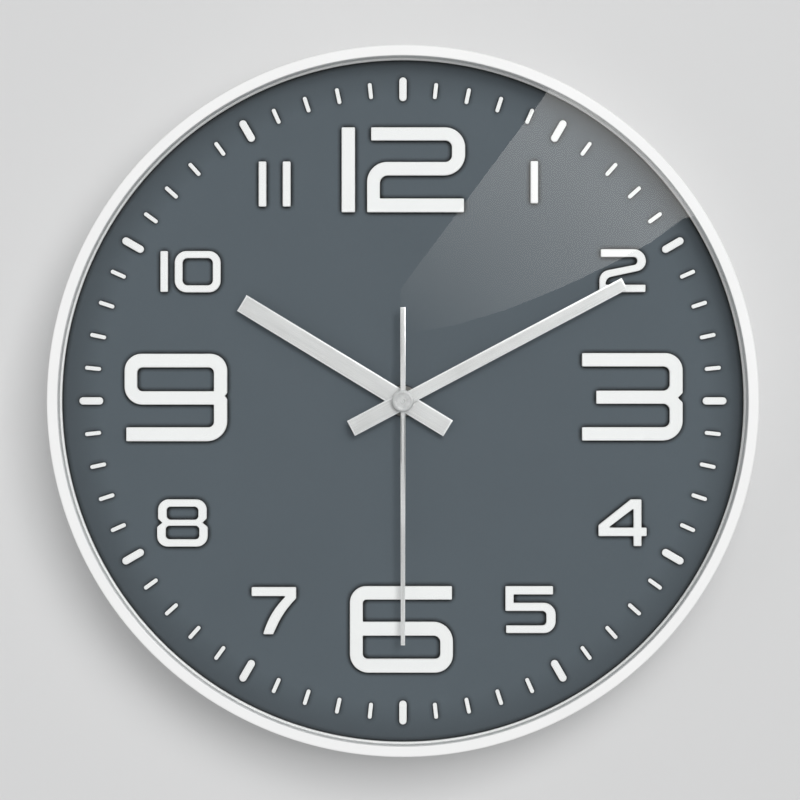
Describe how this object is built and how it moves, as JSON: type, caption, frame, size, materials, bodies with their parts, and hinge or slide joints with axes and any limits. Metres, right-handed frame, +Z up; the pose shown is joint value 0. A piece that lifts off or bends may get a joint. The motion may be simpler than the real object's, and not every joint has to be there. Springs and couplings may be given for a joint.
{
  "type": "wall clock",
  "caption": "Round quartz wall clock: white plastic case, slate-grey dial with raised numerals and bar markers, silver hands behind glass, geared movement and keyhole rear cover.",
  "frame": {"origin": "on the axis of the hands, in the plane of the wall that the case's rear rim rests on", "axes": "+Y points into the wall, +Z is up towards 12 on the dial, +X is to the right as seen from the front; the dial faces -Y"},
  "size_m": [0.3, 0.043, 0.3],
  "materials": {
    "white_case": "satin moulded white",
    "rear_panel": "fine-grained moulded white",
    "clear_glass": "clear polished",
    "dial_grey": "matte slate grey",
    "dial_white": "white, slightly glossy",
    "hand_silver": "silver lacquer",
    "collet_brass": "turned brass",
    "black_rubber": "matte",
    "bumper_foam": "soft matte",
    "movement_black": "fine spark texture",
    "plate_grey": "moulded",
    "gear_white": "natural acetal",
    "gear_brass": "cut brass",
    "knob_white": "moulded",
    "shaft_steel": "ground steel",
    "magnet_grey": "sintered, dark",
    "motor_iron": "annealed sheet",
    "bobbin_white": "moulded",
    "winding_copper": "enamelled copper wire",
    "board_green": "solder mask",
    "chip_black": "epoxy",
    "crystal_can": "drawn can",
    "contact_nickel": "nickel-plated spring strip",
    "battery_sleeve": "printed sleeve, plain",
    "battery_metal": "nickel-plated",
    "screw_zinc": "zinc-plated"
  },
  "bodies": {
    "case": {"front_ring": "white_case", "case_body": "white_case", "spacer_ring": "white_case", "rear_cover": "rear_panel", "front_glass": "clear_glass", "dial_plate": "dial_grey", "hour_markers": "dial_white", "minute_markers": "dial_white", "numeral_1": "dial_white", "numeral_2": "dial_white", "numeral_3": "dial_white", "numeral_4": "dial_white", "numeral_5": "dial_white", "numeral_6": "dial_white", "numeral_7": "dial_white", "numeral_8": "dial_white", "numeral_9": "dial_white", "numeral_10": "dial_white", "numeral_11": "dial_white", "numeral_12": "dial_white", "threaded_bushing": "collet_brass", "hex_nut": "collet_brass", "brass_washer": "collet_brass", "rubber_washer": "black_rubber", "wall_bumpers": "bumper_foam", "movement_front_case": "movement_black", "movement_rear_case": "movement_black", "middle_plate": "plate_grey", "stator": "motor_iron", "coil_core": "motor_iron", "coil_bobbin": "bobbin_white", "coil_winding": "winding_copper", "circuit_board": "board_green", "control_chip": "chip_black", "quartz_crystal": "crystal_can", "positive_contact": "contact_nickel", "negative_contact": "contact_nickel", "rear_cover_screws": "screw_zinc"},
    "minute_drive": {"minute_hand": "hand_silver", "minute_hand_collet": "collet_brass", "minute_tube": "gear_brass", "centre_wheel": "gear_white"},
    "hour_drive": {"hour_hand": "hand_silver", "hour_hand_collet": "collet_brass", "hour_wheel": "gear_white"},
    "second_drive": {"second_hand": "hand_silver", "second_hand_collet": "collet_brass", "centre_cap": "hand_silver", "second_shaft": "shaft_steel", "second_wheel": "gear_white"},
    "third_arbor": {"third_wheel": "gear_white"},
    "fifth_arbor": {"fifth_wheel": "gear_white"},
    "rotor": {"rotor_pinion": "shaft_steel", "rotor_magnet": "magnet_grey"},
    "minute_wheel": {"minute_wheel": "gear_white"},
    "setting_knob": {"setting_knob": "knob_white"},
    "battery": {"battery_can": "battery_sleeve", "battery_cap": "battery_metal"}
  },
  "joints": [
    {"name": "minute_hand_turn", "type": "hinge", "parent": "case", "child": "minute_drive", "pos_m": [0, 0, 0], "axis": [0, 1, 0], "continuous": true},
    {"name": "hour_hand_turn", "type": "hinge", "parent": "case", "child": "hour_drive", "pos_m": [0, 0, 0], "axis": [0, 1, 0], "continuous": true},
    {"name": "second_hand_turn", "type": "hinge", "parent": "case", "child": "second_drive", "pos_m": [0, 0, 0], "axis": [0, 1, 0], "continuous": true},
    {"name": "third_wheel_turn", "type": "hinge", "parent": "case", "child": "third_arbor", "pos_m": [-0.00721, 0, 0.00721], "axis": [0, 1, 0], "continuous": true},
    {"name": "fifth_wheel_turn", "type": "hinge", "parent": "case", "child": "fifth_arbor", "pos_m": [0.00713, 0, 0.00713], "axis": [0, 1, 0], "continuous": true},
    {"name": "rotor_turn", "type": "hinge", "parent": "case", "child": "rotor", "pos_m": [0.01449, 0, 0.00981], "axis": [0, 1, 0], "continuous": true},
    {"name": "minute_wheel_turn", "type": "hinge", "parent": "case", "child": "minute_wheel", "pos_m": [-0.00827, 0, -0.00146], "axis": [0, 1, 0], "continuous": true},
    {"name": "setting_knob_turn", "type": "hinge", "parent": "case", "child": "setting_knob", "pos_m": [-0.01617, 0, -0.00433], "axis": [0, 1, 0], "continuous": true},
    {"name": "battery_removal", "type": "slide", "parent": "case", "child": "battery", "axis": [0, 1, 0], "range_m": [0, 0.03]}
  ],
  "couplings": [
    {"joint": "hour_hand_turn", "follows": "minute_hand_turn", "ratio": 0.083333},
    {"joint": "second_hand_turn", "follows": "minute_hand_turn", "ratio": 60},
    {"joint": "third_wheel_turn", "follows": "minute_hand_turn", "ratio": -8},
    {"joint": "fifth_wheel_turn", "follows": "minute_hand_turn", "ratio": -300},
    {"joint": "rotor_turn", "follows": "minute_hand_turn", "ratio": 1800},
    {"joint": "minute_wheel_turn", "follows": "minute_hand_turn", "ratio": -0.33333},
    {"joint": "setting_knob_turn", "follows": "minute_hand_turn", "ratio": 1}
  ]
}
